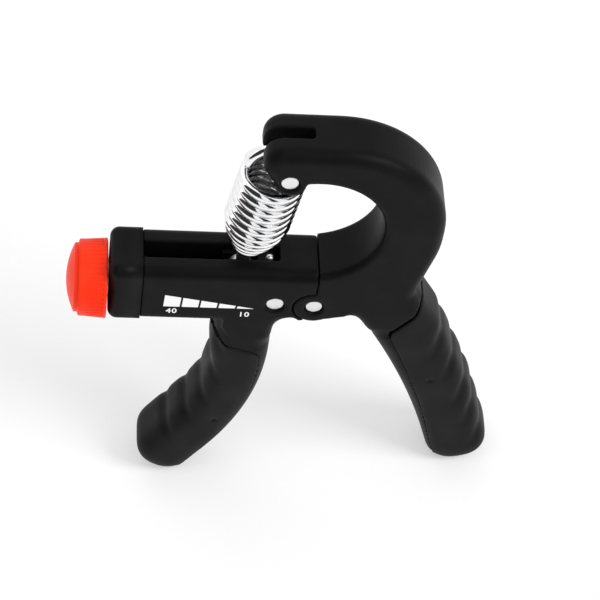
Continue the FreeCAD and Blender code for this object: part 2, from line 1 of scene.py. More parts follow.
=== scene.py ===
"""Adjustable spring hand gripper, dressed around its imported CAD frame.

Each sub-assembly is a class that holds its own sizes, builds its meshes in metres in the
frame's axes and gives them their finishes. Sizes in millimetres are in the barrel's own
axes: the origin is the main pivot, x runs along the barrel towards the ring, y away from
the front face and z up.
"""
import json
import logging
import math
from dataclasses import dataclass
from enum import Enum
from typing import Any, Callable, Iterable, Mapping, Sequence

import bmesh
import bpy
import numpy as np
from mathutils import Matrix, Vector
from mathutils.bvhtree import BVHTree


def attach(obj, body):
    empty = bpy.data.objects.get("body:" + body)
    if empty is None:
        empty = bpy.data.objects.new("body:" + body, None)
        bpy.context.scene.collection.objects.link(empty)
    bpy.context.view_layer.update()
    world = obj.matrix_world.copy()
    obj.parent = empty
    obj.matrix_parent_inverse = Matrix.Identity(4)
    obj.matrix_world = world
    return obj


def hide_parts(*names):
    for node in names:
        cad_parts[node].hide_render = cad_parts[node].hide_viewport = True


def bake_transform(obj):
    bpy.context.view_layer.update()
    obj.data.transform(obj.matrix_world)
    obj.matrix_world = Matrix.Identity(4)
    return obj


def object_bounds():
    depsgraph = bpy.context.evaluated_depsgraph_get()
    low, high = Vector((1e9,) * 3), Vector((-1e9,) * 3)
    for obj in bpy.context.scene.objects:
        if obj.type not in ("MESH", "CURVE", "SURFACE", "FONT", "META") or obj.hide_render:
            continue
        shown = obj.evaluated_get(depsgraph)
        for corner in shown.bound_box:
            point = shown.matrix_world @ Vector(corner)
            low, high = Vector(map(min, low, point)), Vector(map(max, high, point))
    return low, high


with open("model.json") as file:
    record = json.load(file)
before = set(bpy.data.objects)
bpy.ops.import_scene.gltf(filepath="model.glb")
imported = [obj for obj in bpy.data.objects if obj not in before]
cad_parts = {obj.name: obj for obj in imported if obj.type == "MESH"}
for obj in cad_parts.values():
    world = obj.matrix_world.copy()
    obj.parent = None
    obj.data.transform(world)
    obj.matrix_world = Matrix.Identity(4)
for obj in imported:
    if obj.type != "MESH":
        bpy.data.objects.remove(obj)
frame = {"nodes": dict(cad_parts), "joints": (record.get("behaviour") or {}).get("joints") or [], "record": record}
CAD_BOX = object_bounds()

LOG = logging.getLogger("gripper")
MM = 0.001
# vertices of a solid closer than this are one vertex
MERGE_GAP = 0.002 * MM
# how far, in millimetres, a vertex may lie off the plane that it is looked up by
PLANE_SLACK = 0.05
# corners of each face of a plate: four in front, then the same four behind
PLATE_FACES = ((0, 1, 2, 3), (7, 6, 5, 4), (0, 4, 5, 1), (1, 5, 6, 2), (2, 6, 7, 3), (3, 7, 4, 0))
Colour = tuple[float, float, float]


class Slot(Enum):
    """Material slots of the record."""

    BLACK = "black_plastic"
    GRIP = "soft_grip"
    RED = "red_plastic"
    STEEL = "steel"
    BRASS = "brass"
    CHROME = "chrome"


class Body(Enum):
    """Bodies of the frame that pieces ride on."""

    HOUSING = "housing"
    ARM = "arm"
    ADJUSTER = "adjuster"
    SPRING_TOP = "spring_top"
    SPRING_COIL = "spring_coil"
    SPRING_FOOT = "spring_foot"


# ---------- the barrel's axes
@dataclass(frozen=True)
class BarrelAxes:
    """The barrel's own axes as they stand in the frame."""

    origin: Vector
    along: Vector
    up: Vector

    @classmethod
    def from_joints(cls, joints: Iterable[Mapping[str, Any]]) -> "BarrelAxes":
        """Read the axes from the main pivot and the knob's joint.

        Args:
            joints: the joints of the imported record.

        Returns:
            The axes, with the main pivot as their origin.
        """
        by_name = {joint["name"]: joint for joint in joints}
        along = Vector(by_name["knob_turn"]["axis"]).normalized()
        return cls(Vector(by_name["arm_squeeze"]["pos_m"]), along, Vector((-along.z, 0, along.x)))

    def point(self, x: float, y: float, z: float) -> Vector:
        """Point of the frame, in metres, from a place along, across and up the barrel, in millimetres."""
        return self.origin + MM * (x * self.along + z * self.up + Vector((0, y, 0)))

    def matrix(self, x: float, y: float, z: float) -> Matrix:
        """Matrix that carries a shape drawn in the x-z plane to a place on the barrel.

        Args:
            x: along the barrel, in millimetres.
            y: depth, in millimetres.
            z: height, in millimetres.

        Returns:
            The placing matrix: local X runs along the barrel and local Y up it.
        """
        across = self.along.cross(self.up)
        turn = Matrix((self.along, self.up, across)).transposed()
        return Matrix.Translation(self.point(x, y, z)) @ turn.to_4x4()

    def aligned(self, direction: Vector, x: float, z: float) -> Matrix:
        """Matrix that lays a direction along the barrel and the origin at (x, z), in millimetres."""
        turn = direction.rotation_difference(self.along).to_matrix().to_4x4()
        return Matrix.Translation(self.point(x, 0, z)) @ turn

    def local(self, place: Vector) -> tuple[float, float, float]:
        """Where a point of the frame lies in the barrel's axes, in millimetres."""
        offset = (place - self.origin) / MM
        return offset.dot(self.along), offset.y, offset.dot(self.up)

    def spread(self, places: np.ndarray) -> tuple[np.ndarray, np.ndarray, np.ndarray]:
        """Where each row of places lies in the barrel's axes, in millimetres."""
        offsets = (places - np.array(self.origin)) / MM
        return offsets @ np.array(self.along), offsets[:, 1], offsets @ np.array(self.up)


# ---------- node building
def math_method(operation: str, swapped: bool = False) -> Callable[["Sock", Any], "Sock"]:
    """Operator of a socket that adds a Math node.

    Args:
        operation: the Math node's operation.
        swapped: whether the other value comes first.

    Returns:
        The method.
    """
    def method(sock: "Sock", other: Any) -> "Sock":
        """Join the socket and the other value by the node."""
        return sock._math(operation, *((other, sock) if swapped else (sock, other)))

    return method


class Sock:
    """An output socket that turns Python arithmetic into Math nodes."""

    def __init__(self, graph: "NodeGraph", socket: bpy.types.NodeSocket) -> None:
        """Wrap one output socket of a graph."""
        self.graph = graph
        self.socket = socket

    def _math(self, operation: str, first: Any, second: Any = None) -> "Sock":
        """Result of one Math node with one or two values or sockets."""
        values = {0: first} if second is None else {0: first, 1: second}
        return self.graph.node("ShaderNodeMath", {"operation": operation}, values)["Value"]

    __add__ = math_method("ADD")
    __radd__ = math_method("ADD", swapped=True)
    __sub__ = math_method("SUBTRACT")
    __rsub__ = math_method("SUBTRACT", swapped=True)
    __mul__ = math_method("MULTIPLY")
    __rmul__ = math_method("MULTIPLY", swapped=True)
    __truediv__ = math_method("DIVIDE")

    def wave(self) -> "Sock":
        """Triangle wave between 0 and 1 with a period of 1."""
        return self._math("PINGPONG", self, 0.5) * 2.0

    def angle_to(self, other: "Sock") -> "Sock":
        """Angle of the direction (other, self) in radians."""
        return self._math("ARCTAN2", self, other)

    def smooth(self, low: float, high: float) -> "Sock":
        """Smooth step.

        Args:
            low: where the step starts, as 0.
            high: where the step ends, as 1.

        Returns:
            The stepped value.
        """
        settings = {"interpolation_type": "SMOOTHSTEP"}
        values = {"Value": self, "From Min": low, "From Max": high}
        return self.graph.node("ShaderNodeMapRange", settings, values)["Result"]


class NodeView:
    """A node whose outputs are read by name as wrapped sockets."""

    def __init__(self, graph: "NodeGraph", node: bpy.types.Node) -> None:
        """Wrap one node of a graph."""
        self.graph = graph
        self.node = node

    def __getitem__(self, name: str | int) -> Sock:
        """Output socket by its name or number."""
        return Sock(self.graph, self.node.outputs[name])


class NodeGraph:
    """Adds nodes to one shader or geometry tree."""

    def __init__(self, tree: bpy.types.NodeTree) -> None:
        """Start on an empty tree."""
        self.tree = tree
        self.tree.nodes.clear()

    def node(
        self,
        kind: str,
        settings: Mapping[str, Any] | None = None,
        inputs: Mapping[str | int, Any] | None = None,
    ) -> NodeView:
        """Add one node.

        Args:
            kind: the node's type.
            settings: its properties, set first.
            inputs: the value or link of each input, by name or number.

        Returns:
            The node, with its outputs to read.
        """
        node = self.tree.nodes.new(kind)
        for name, value in (settings or {}).items():
            setattr(node, name, value)
        for name, value in (inputs or {}).items():
            if isinstance(value, Sock):
                self.tree.links.new(value.socket, node.inputs[name])
            else:
                node.inputs[name].default_value = value
        return NodeView(self, node)

    def mix(self, share: Any, first: Any, second: Any) -> Sock:
        """Mix two colours.

        Args:
            share: how much of the second colour.
            first: the first colour or socket.
            second: the second colour or socket.

        Returns:
            The mixed colour.
        """
        def plain(colour: Any) -> Any:
            """A colour with its alpha, or the socket as it is."""
            return colour if isinstance(colour, Sock) else (*colour, 1.0)

        values = {0: share, 6: plain(first), 7: plain(second)}
        return self.node("ShaderNodeMix", {"data_type": "RGBA"}, values)[2]

    def seen(self) -> Sock:
        """1 for rays of the camera, of reflections and through glass, 0 for all others."""
        path = self.node("ShaderNodeLightPath")
        looks = path["Is Camera Ray"] + path["Is Glossy Ray"] + path["Is Transmission Ray"]
        return looks.smooth(0.0, 1.0)


class ShaderGraph(NodeGraph):
    """Shader nodes of one material, with the patterns that the finishes share."""

    def __init__(self, name: str) -> None:
        """Start a new material with an empty tree."""
        self.material = bpy.data.materials.new(name)
        self.material.use_nodes = True
        super().__init__(self.material.node_tree)
        self.place = self.node("ShaderNodeTexCoord")["Object"]

    def noise(self, size: float, detail: float = 2.0) -> Sock:
        """Noise between 0 and 1, with features of a size in metres and finer layers of detail."""
        values = {"Vector": self.place, "Scale": 1.0 / size, "Detail": detail}
        return self.node("ShaderNodeTexNoise", {}, values)["Fac"]

    def bump(self, height: Sock, depth: float) -> Sock:
        """Normal that shows a relief between 0 and 1 with a depth in metres."""
        values = {"Height": height, "Distance": depth, "Strength": 1.0}
        return self.node("ShaderNodeBump", {}, values)["Normal"]

    def finish(self, **inputs: Any) -> bpy.types.Material:
        """Close the material with a Principled shader.

        Args:
            inputs: the shader's inputs, with underscores for spaces.

        Returns:
            The finished material.
        """
        values = {name.replace("_", " "): value for name, value in inputs.items()}
        shader = self.node("ShaderNodeBsdfPrincipled", {}, values)["BSDF"]
        self.node("ShaderNodeOutputMaterial", {}, {"Surface": shader})
        return self.material


# ---------- finishes
@dataclass(frozen=True)
class MouldedPlastic:
    """Moulded plastic with an eroded grain, faint flow marks and handling sheen."""

    name: str
    colour: Colour
    bright: Colour
    roughness: float
    level: float
    grain: float = 0.00035
    relief: float = 0.00001
    flow: float = 0.012
    grain_dulls: float = 0.10
    handling_shines: float = 0.08

    def build(self) -> bpy.types.Material:
        """Make the material."""
        graph = ShaderGraph(self.name)
        cloud = graph.noise(self.flow, 3.0)
        grain = graph.noise(self.grain)
        polish = cloud.smooth(0.45, 0.75)
        return graph.finish(
            Base_Color=graph.mix(cloud.smooth(0.3, 0.8), self.colour, self.bright),
            Roughness=self.roughness + self.grain_dulls * grain - self.handling_shines * polish,
            Specular_IOR_Level=self.level,
            Normal=graph.bump(grain, self.relief),
        )


@dataclass(frozen=True)
class MachinedMetal:
    """Turned or stamped metal with fine tool marks and small stains."""

    name: str
    colour: Colour
    stain: Colour
    roughness: float
    marks: float = 0.00025
    mark_depth: float = 0.000006
    marks_dull: float = 0.14
    stains: float = 0.0025

    def build(self) -> bpy.types.Material:
        """Make the material."""
        graph = ShaderGraph(self.name)
        fine = graph.noise(self.marks, 3.0)
        cloud = graph.noise(self.stains)
        return graph.finish(
            Base_Color=graph.mix(cloud.smooth(0.55, 0.85), self.colour, self.stain),
            Metallic=1.0,
            Roughness=self.roughness + self.marks_dull * fine,
            Normal=graph.bump(fine, self.mark_depth),
        )


@dataclass(frozen=True)
class PlatedWire:
    """Bright chromium plate on drawn wire, with faint draw lines."""

    name: str
    colour: Colour
    roughness: float
    clouds: float = 0.004
    clouds_dull: float = 0.05
    dull_share: float = 0.82
    lines: float = 0.00018
    line_depth: float = 0.0000012

    def build(self) -> bpy.types.Material:
        """Make the material."""
        graph = ShaderGraph(self.name)
        cloud = graph.noise(self.clouds)
        dull = tuple(self.dull_share * part for part in self.colour)
        return graph.finish(
            Base_Color=graph.mix(cloud.smooth(0.5, 0.9), self.colour, dull),
            Metallic=1.0,
            Roughness=self.roughness + self.clouds_dull * cloud,
            Normal=graph.bump(graph.noise(self.lines), self.line_depth),
        )


@dataclass(frozen=True)
class PrintedInk:
    """Pad-printed ink, slightly thin where the grain shows through."""

    name: str
    colour: Colour
    thin: Colour

    def build(self) -> bpy.types.Material:
        """Make the material."""
        graph = ShaderGraph(self.name)
        worn = graph.noise(0.0004, 3.0).smooth(0.55, 0.85)
        return graph.finish(
            Base_Color=graph.mix(worn * 0.4, self.colour, self.thin),
            Roughness=0.45 + 0.2 * worn,
            Specular_IOR_Level=0.3,
        )


@dataclass(frozen=True)
class StudioSurface:
    """Pale studio surface that shows white to the eye and keeps soft shadows."""

    name: str
    colour: Colour
    white_share: float

    def build(self) -> bpy.types.Material:
        """Make the material."""
        graph = ShaderGraph(self.name)
        fibre = graph.noise(0.002, 3.0)
        paler = tuple(min(1.0, 1.03 * part) for part in self.colour)
        tint = graph.mix(fibre, self.colour, paler)
        diffuse = graph.node("ShaderNodeBsdfDiffuse", {}, {"Color": tint})[0]
        glow = graph.node("ShaderNodeEmission", {}, {"Color": (1, 1, 1, 1), "Strength": 1.0})[0]
        share = graph.seen() * self.white_share
        both = graph.node("ShaderNodeMixShader", {}, {0: share, 1: diffuse, 2: glow})[0]
        graph.node("ShaderNodeOutputMaterial", {}, {"Surface": both})
        return graph.material


@dataclass(frozen=True)
class FlagCloth:
    """Dark cloth of the studio's flags."""

    name: str
    colour: Colour = (0.012, 0.012, 0.012)

    def build(self) -> bpy.types.Material:
        """Make the material."""
        graph = ShaderGraph(self.name)
        weave = graph.noise(0.001)
        return graph.finish(Base_Color=(*self.colour, 1.0), Roughness=0.8 + 0.2 * weave)


class Finishes:
    """The object's finishes, made once."""

    def __init__(self) -> None:
        """Make every material of the object."""
        self.by_slot = {
            Slot.BLACK: MouldedPlastic(
                "moulded_black", (0.0038, 0.0038, 0.0040), (0.0062, 0.0062, 0.0065), 0.38, 0.07,
            ).build(),
            Slot.GRIP: MouldedPlastic(
                "soft_grip_black", (0.0055, 0.0055, 0.0057), (0.0086, 0.0086, 0.0089), 0.46, 0.10,
                grain=0.00055, relief=0.00002,
            ).build(),
            Slot.RED: MouldedPlastic(
                "red_plastic", (0.94, 0.030, 0.006), (0.98, 0.046, 0.012), 0.34, 0.10, relief=0.000004,
            ).build(),
            Slot.STEEL: MachinedMetal("satin_steel", (0.80, 0.80, 0.81), (0.62, 0.62, 0.63), 0.30).build(),
            Slot.BRASS: MachinedMetal("turned_brass", (0.78, 0.57, 0.26), (0.60, 0.42, 0.18), 0.25).build(),
            Slot.CHROME: PlatedWire("bright_chrome", (0.88, 0.88, 0.89), 0.06).build(),
        }
        self.ink = PrintedInk("white_ink", (0.91, 0.91, 0.91), (0.62, 0.62, 0.62)).build()

    def dress_frame(self, record: Mapping[str, Any]) -> None:
        """Give every carried-over CAD node the material of its slot.

        Args:
            record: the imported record, which names each node's slot.
        """
        for entry in record["subparts"]:
            node = frame["nodes"][entry["node"]]
            node.data.materials.clear()
            node.data.materials.append(self.by_slot[Slot(entry["material_slot"])])
            LOG.info("%s: %s", entry["node"], entry["material_slot"])


# ---------- geometry trees
class PartTree(NodeGraph):
    """A Geometry Nodes tree with named sizes that ends in one plain mesh."""

    def __init__(self, name: str, sizes: Mapping[str, float | int]) -> None:
        """Start a tree.

        Args:
            name: the tree's name.
            sizes: the named inputs and their values.
        """
        super().__init__(bpy.data.node_groups.new(name, "GeometryNodeTree"))
        self.sizes = sizes
        face = self.tree.interface
        face.new_socket("Geometry", in_out="INPUT", socket_type="NodeSocketGeometry")
        self.identifiers = {}
        for size, value in sizes.items():
            kind = "NodeSocketInt" if isinstance(value, int) else "NodeSocketFloat"
            socket = face.new_socket(size, in_out="INPUT", socket_type=kind)
            self.identifiers[size] = socket.identifier
        face.new_socket("Geometry", in_out="OUTPUT", socket_type="NodeSocketGeometry")
        self.given = self.node("NodeGroupInput")

    def size(self, name: str) -> Sock:
        """Named size as a socket."""
        return self.given[name]

    def close(self, geometry: Sock, material: bpy.types.Material) -> None:
        """End the tree in one dressed, realised mesh.

        Args:
            geometry: the made geometry.
            material: the material of all its faces.
        """
        real = self.node("GeometryNodeRealizeInstances", {}, {"Geometry": geometry})["Geometry"]
        soft = self.node("GeometryNodeSetShadeSmooth", {}, {0: real})[0]
        inputs = {"Geometry": soft, "Material": material}
        dressed = self.node("GeometryNodeSetMaterial", {}, inputs)["Geometry"]
        self.node("NodeGroupOutput", {}, {"Geometry": dressed})

    def position(self) -> NodeView:
        """Place of every point, split into X, Y and Z."""
        place = self.node("GeometryNodeInputPosition")["Position"]
        return self.node("ShaderNodeSeparateXYZ", {}, {0: place})

    def moved(self, geometry: Sock, x: Sock, y: Sock, z: Sock) -> Sock:
        """Geometry with every point at a new place."""
        place = self.node("ShaderNodeCombineXYZ", {}, {0: x, 1: y, 2: z})["Vector"]
        inputs = {"Geometry": geometry, "Position": place}
        return self.node("GeometryNodeSetPosition", {}, inputs)["Geometry"]

    def run(self, carrier: bpy.types.Mesh) -> bpy.types.Mesh:
        """Run the tree on a mesh.

        Args:
            carrier: the mesh that the tree starts from.

        Returns:
            The made mesh, in place.
        """
        holder = link_object(self.tree.name + "_carrier", carrier)
        modifier = holder.modifiers.new("build", "NODES")
        modifier.node_group = self.tree
        for size, value in self.sizes.items():
            modifier[self.identifiers[size]] = value
        return evaluated_mesh(holder)


def link_object(name: str, data: bpy.types.ID) -> bpy.types.Object:
    """Link a new object into the scene.

    Args:
        name: the object's name.
        data: its mesh, curve, light or camera.

    Returns:
        The object.
    """
    made = bpy.data.objects.new(name, data)
    bpy.context.scene.collection.objects.link(made)
    return made


def evaluated_mesh(holder: bpy.types.Object) -> bpy.types.Mesh:
    """Keep the mesh that an object's modifiers make, without the object.

    Args:
        holder: the object, in the scene.

    Returns:
        The mesh.
    """
    depsgraph = bpy.context.evaluated_depsgraph_get()
    made = bpy.data.meshes.new_from_object(holder.evaluated_get(depsgraph), depsgraph=depsgraph)
    bpy.data.objects.remove(holder)
    return made


def add_piece(name: str, mesh: bpy.types.Mesh) -> bpy.types.Object:
    """Link a finished mesh, in place, into the scene as a piece."""
    mesh.name = name
    return link_object(name, mesh)


def merged_solid(node: str) -> bmesh.types.BMesh:
    """Copy of a solid whose faces share their vertices.

    Args:
        node: the solid's node.

    Returns:
        The copy, to edit.
    """
    whole = bmesh.new()
    whole.from_mesh(frame["nodes"][node].data)
    bmesh.ops.remove_doubles(whole, verts=whole.verts, dist=MERGE_GAP)
    return whole


def closed_mesh(name: str, shape: bmesh.types.BMesh) -> bpy.types.Mesh:
    """Turn an edited shape into a mesh and free it.

    Args:
        name: the mesh's name.
        shape: the shape.

    Returns:
        The mesh.
    """
    mesh = bpy.data.meshes.new(name)
    shape.to_mesh(mesh)
    shape.free()
    return mesh


def shade(mesh: bpy.types.Mesh, crease_angle: float) -> None:
    """Shade a mesh smoothly, with sharp edges above an angle in degrees."""
    mesh.polygons.foreach_set("use_smooth", [True] * len(mesh.polygons))
    mesh.set_sharp_from_angle(angle=math.radians(crease_angle))


def line_mesh(points: Sequence[Vector]) -> bpy.types.Mesh:
    """Mesh of one open chain of edges through points given in order.

    Args:
        points: the chain's points.

    Returns:
        The mesh.
    """
    mesh = bpy.data.meshes.new("chain")
    edges = [(i, i + 1) for i in range(len(points) - 1)]
    mesh.from_pydata([tuple(point) for point in points], edges, [])
    return mesh


@dataclass
class Part:
    """Sub-assembly that knows the barrel's axes and the object's finishes."""

    axes: BarrelAxes
    finishes: Finishes

    def dressed(
        self, name: str, mesh: bpy.types.Mesh, body: Body, node: str, slot: Slot
    ) -> bpy.types.Object:
        """Dress a mesh and put it in the place of its solid.

        Args:
            name: the piece's name.
            mesh: its mesh, in place.
            body: the body that it rides on.
            node: the solid that it replaces.
            slot: its material slot.

        Returns:
            The piece.
        """
        mesh.materials.clear()
        mesh.materials.append(self.finishes.by_slot[slot])
        piece = add_piece(name, mesh)
        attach(piece, body.value)
        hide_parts(node)
        return piece


# ---------- spring
@dataclass
class ExtensionSpring(Part):
    """Close-wound plated spring with a hook on the pin and a tapered foot."""

    hook_x: float = -17.5
    hook_z: float = 57.6
    foot_x: float = -24.7
    foot_z: float = 10.0
    hook_radius: float = 8.6
    hook_tip: float = 12.0
    wire_radius: float = 1.62
    coil_radius: float = 9.2
    coil_start: float = 2.2
    pitch: float = 3.22
    straight_turns: float = 7.0
    taper_turns: float = 4.0
    taper_pitch: float = 3.05
    taper_radius: float = 4.2
    taper_bend: float = 1.35
    tail_turns: float = 0.12
    join_angle: float = 40.0
    join_leave: float = 4.5
    join_arrive: float = 8.0
    hook_steps: int = 36
    join_steps: int = 12
    steps_per_turn: int = 56
    wire_sides: int = 16
    split_turn: float = 4.6
    stretch_start: float = 3.0

    def __post_init__(self) -> None:
        """Work out the spring's own axes in the barrel's plane."""
        run = Vector((self.foot_x - self.hook_x, 0, self.foot_z - self.hook_z)).normalized()
        self.down = run
        self.side = Vector((-run.z, 0, run.x))

    def at(self, side: float, depth: float, down: float) -> Vector:
        """Point of the frame, from millimetres to the right, to the back and down the spring."""
        local = Vector((self.hook_x, 0, self.hook_z)) + side * self.side + down * self.down
        return self.axes.point(local.x, depth, local.z)

    def helix(self, turn: float) -> tuple[float, float, float]:
        """Centre of the wire after some turns.

        Args:
            turn: turns from the left side of the coil's start.

        Returns:
            The place as (side, depth, down), in millimetres.
        """
        tapered = max(0.0, turn - self.straight_turns)
        share = min(1.0, tapered / self.taper_turns)
        radius = self.coil_radius - (self.coil_radius - self.taper_radius) * share ** self.taper_bend
        down = self.coil_start + self.pitch * min(turn, self.straight_turns) + self.taper_pitch * tapered
        angle = 2 * math.pi * turn
        return -radius * math.cos(angle), radius * math.sin(angle), down

    def hook_points(self) -> list[Vector]:
        """Centre line of the hook, from its tip over the pin and into the first turn."""
        places = []
        for i in range(self.hook_steps):
            angle = math.radians(self.hook_tip + (180 - self.hook_tip) * i / self.hook_steps)
            places.append((self.hook_radius * math.cos(angle), 0.0, -self.hook_radius * math.sin(angle)))
        start = Vector((-self.hook_radius, 0, 0))
        turn = self.join_angle / 360
        end = Vector(self.helix(turn))
        leave = Vector((0, 0, 1)) * self.join_leave
        arrive = (Vector(self.helix(turn + 0.01)) - end).normalized() * self.join_arrive
        for i in range(self.join_steps):
            t = i / self.join_steps
            low, high = (1 + 2 * t) * (1 - t) ** 2, t * t * (3 - 2 * t)
            point = low * start + t * (1 - t) ** 2 * leave + high * end - t * t * (1 - t) * arrive
            places.append(tuple(point))
        return [self.at(*place) for place in places]

    def coil_points(self, first: float, last: float) -> list[Vector]:
        """Centre line of the coil between two turns."""
        steps = max(2, round((last - first) * self.steps_per_turn))
        return [self.at(*self.helix(first + (last - first) * i / steps)) for i in range(steps + 1)]

    def wire(self, name: str, points: Sequence[Vector]) -> bpy.types.Object:
        """Round plated wire along a line.

        Args:
            name: the piece's name.
            points: the centre line.

        Returns:
            The piece.
        """
        tree = PartTree(name, {"Wire radius": self.wire_radius * MM, "Wire sides": self.wire_sides})
        path = tree.node("GeometryNodeMeshToCurve", {}, {0: tree.size("Geometry")})[0]
        inputs = {"Resolution": tree.size("Wire sides"), "Radius": tree.size("Wire radius")}
        ring = tree.node("GeometryNodeCurvePrimitiveCircle", {}, inputs)["Curve"]
        swept = {"Curve": path, "Profile Curve": ring, "Fill Caps": True}
        tube = tree.node("GeometryNodeCurveToMesh", {}, swept)["Mesh"]
        tree.close(tube, self.finishes.by_slot[Slot.CHROME])
        return add_piece(name, tree.run(line_mesh(points)))

    def build(self) -> list[bpy.types.Object]:
        """Make the spring in two halves.

        Returns:
            The upper and the lower half.
        """
        total = self.straight_turns + self.taper_turns
        upper = self.wire(
            "spring_hook_and_upper_coil",
            self.hook_points() + self.coil_points(self.join_angle / 360, self.split_turn),
        )
        lower = self.wire(
            "spring_lower_coil_and_foot",
            self.coil_points(self.split_turn, total + self.tail_turns),
        )
        middle = self.helix(self.split_turn)[2]
        bottom = self.helix(total)[2]
        top, centre = self.at(0, 0, self.stretch_start), self.at(0, 0, middle)
        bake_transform(upper)
        self.at(0, 0, bottom)
        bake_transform(lower)
        for piece in (upper, lower):
            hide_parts("extension_spring")
        return [upper, lower]


# ---------- force screw
@dataclass
class ForceScrew(Part):
    """Rolled thread of the screw that the knob turns."""

    height: float = 0.3
    left: float = -78.3
    right: float = -18.0
    crest_radius: float = 2.5
    thread_depth: float = 0.55
    lead: float = 2.0
    around: int = 32
    rows_per_turn: int = 8
    flank: tuple[float, float] = (0.1, 0.9)

    def build(self) -> bpy.types.Object:
        """Make the threaded rod.

        Returns:
            The piece.
        """
        length = self.right - self.left
        rows = round(length / self.lead * self.rows_per_turn)
        sizes = {
            "Crest radius": self.crest_radius * MM,
            "Thread depth": self.thread_depth * MM,
            "Lead": self.lead * MM,
            "Length": length * MM,
            "Around": self.around,
            "Rows": rows,
        }
        tree = PartTree("force_screw_thread", sizes)
        inputs = {
            "Vertices": tree.size("Around"),
            "Side Segments": tree.size("Rows"),
            "Radius": tree.size("Crest radius"),
            "Depth": tree.size("Length"),
        }
        rod = tree.node("GeometryNodeMeshCylinder", {"fill_type": "NGON"}, inputs)["Mesh"]
        at = tree.position()
        phase = at["Z"] / tree.size("Lead") + at["Y"].angle_to(at["X"]) / (2 * math.pi)
        sink = phase.wave().smooth(*self.flank) * tree.size("Thread depth")
        keep = 1.0 - sink / tree.size("Crest radius")
        tree.close(
            tree.moved(rod, at["X"] * keep, at["Y"] * keep, at["Z"]), self.finishes.by_slot[Slot.STEEL]
        )
        mesh = tree.run(bpy.data.meshes.new("seed"))
        mesh.transform(self.axes.aligned(Vector((0, 0, 1)), (self.left + self.right) / 2, self.height))
        return self.dressed("force_screw", mesh, Body.ADJUSTER, "adjusting_screw", Slot.STEEL)


# ---------- moulded bodies
def moulded_blank(node: str, voxel: float, passes: int) -> bpy.types.Mesh:
    """Even mesh of a solid, with its edges softened as a mould leaves them.

    Args:
        node: the solid's node.
        voxel: the size of a face, in millimetres.
        passes: how many times the mesh is smoothed.

    Returns:
        The mesh.
    """
    holder = link_object(node + "_blank", closed_mesh(node + "_blank", merged_solid(node)))
    remesh = holder.modifiers.new("even", "REMESH")
    remesh.mode = "VOXEL"
    remesh.voxel_size = voxel * MM
    remesh.use_smooth_shade = True
    soften = holder.modifiers.new("soften", "SMOOTH")
    soften.factor = 0.5
    soften.iterations = passes
    return evaluated_mesh(holder)


def vertex_values(mesh: bpy.types.Mesh, name: str) -> np.ndarray:
    """Read a vector of every vertex.

    Args:
        mesh: the mesh.
        name: "co" or "normal".

    Returns:
        One row for each vertex.
    """
    values = np.empty(len(mesh.vertices) * 3)
    mesh.vertices.foreach_get(name, values)
    return values.reshape(-1, 3)


def set_places(mesh: bpy.types.Mesh, places: np.ndarray) -> None:
    """Put every vertex of a mesh at its place."""
    mesh.vertices.foreach_set("co", places.ravel())
    mesh.update()


def ease(share: np.ndarray) -> np.ndarray:
    """Ease shares between 0 and 1 in and out."""
    return share * share * (3 - 2 * share)


def relax(mesh: bpy.types.Mesh, places: np.ndarray, weight: np.ndarray, passes: int) -> None:
    """Draw every vertex towards the middle of its neighbours.

    Args:
        mesh: the mesh whose edges join the vertices.
        places: the vertices' places, changed in place.
        weight: how strongly each vertex moves, between 0 and 1.
        passes: how many times it is done.
    """
    pairs = np.empty(len(mesh.edges) * 2, dtype=np.int32)
    mesh.edges.foreach_get("vertices", pairs)
    first, second = pairs.reshape(-1, 2).T
    degree = np.bincount(pairs, minlength=len(places))[:, None]
    for _ in range(passes):
        total = np.stack([
            np.bincount(first, places[second, axis], len(places))
            + np.bincount(second, places[first, axis], len(places))
            for axis in range(3)
        ], axis=1)
        places += weight[:, None] * (total / degree - places)


@dataclass(frozen=True)
class Blend:
    """Stretch of an edge that runs softly into a handle."""

    start: tuple[float, float]
    end: tuple[float, float]
    reach: float = 4.5


@dataclass
class MouldedShell(Part):
    """Moulded body with soft edges that runs smoothly into its handle."""

    name: str
    body: Body
    node: str
    blends: Sequence[Blend]
    voxel: float = 0.5
    edge_passes: int = 2
    blend_passes: int = 60

    def weights(self, x: np.ndarray, z: np.ndarray) -> np.ndarray:
        """How strongly each vertex is blended.

        Args:
            x: places along the barrel, in millimetres.
            z: heights, in millimetres.

        Returns:
            A weight between 0 and 1 for each vertex.
        """
        weight = np.zeros_like(x)
        for blend in self.blends:
            run_x, run_z = blend.end[0] - blend.start[0], blend.end[1] - blend.start[1]
            dx, dz = x - blend.start[0], z - blend.start[1]
            share = np.clip((dx * run_x + dz * run_z) / (run_x * run_x + run_z * run_z), 0, 1)
            gap = np.hypot(dx - share * run_x, dz - share * run_z)
            weight = np.maximum(weight, ease(np.clip(1 - gap / blend.reach, 0, 1)))
        return weight

    def build(self) -> bpy.types.Object:
        """Make the shell.

        Returns:
            The piece.
        """
        mesh = moulded_blank(self.node, self.voxel, self.edge_passes)
        places = vertex_values(mesh, "co")
        x, _, z = self.axes.spread(places)
        relax(mesh, places, self.weights(x, z), self.blend_passes)
        set_places(mesh, places)
        return self.dressed(self.name, mesh, self.body, self.node, Slot.BLACK)


# ---------- grip pads
@dataclass(frozen=True)
class Crease:
    """One finger crease, from its notch on the outer side to its end on the face."""

    notch: tuple[float, float]
    run: tuple[float, float] = (-2.7, -12.5)
    depth: float = 0.85


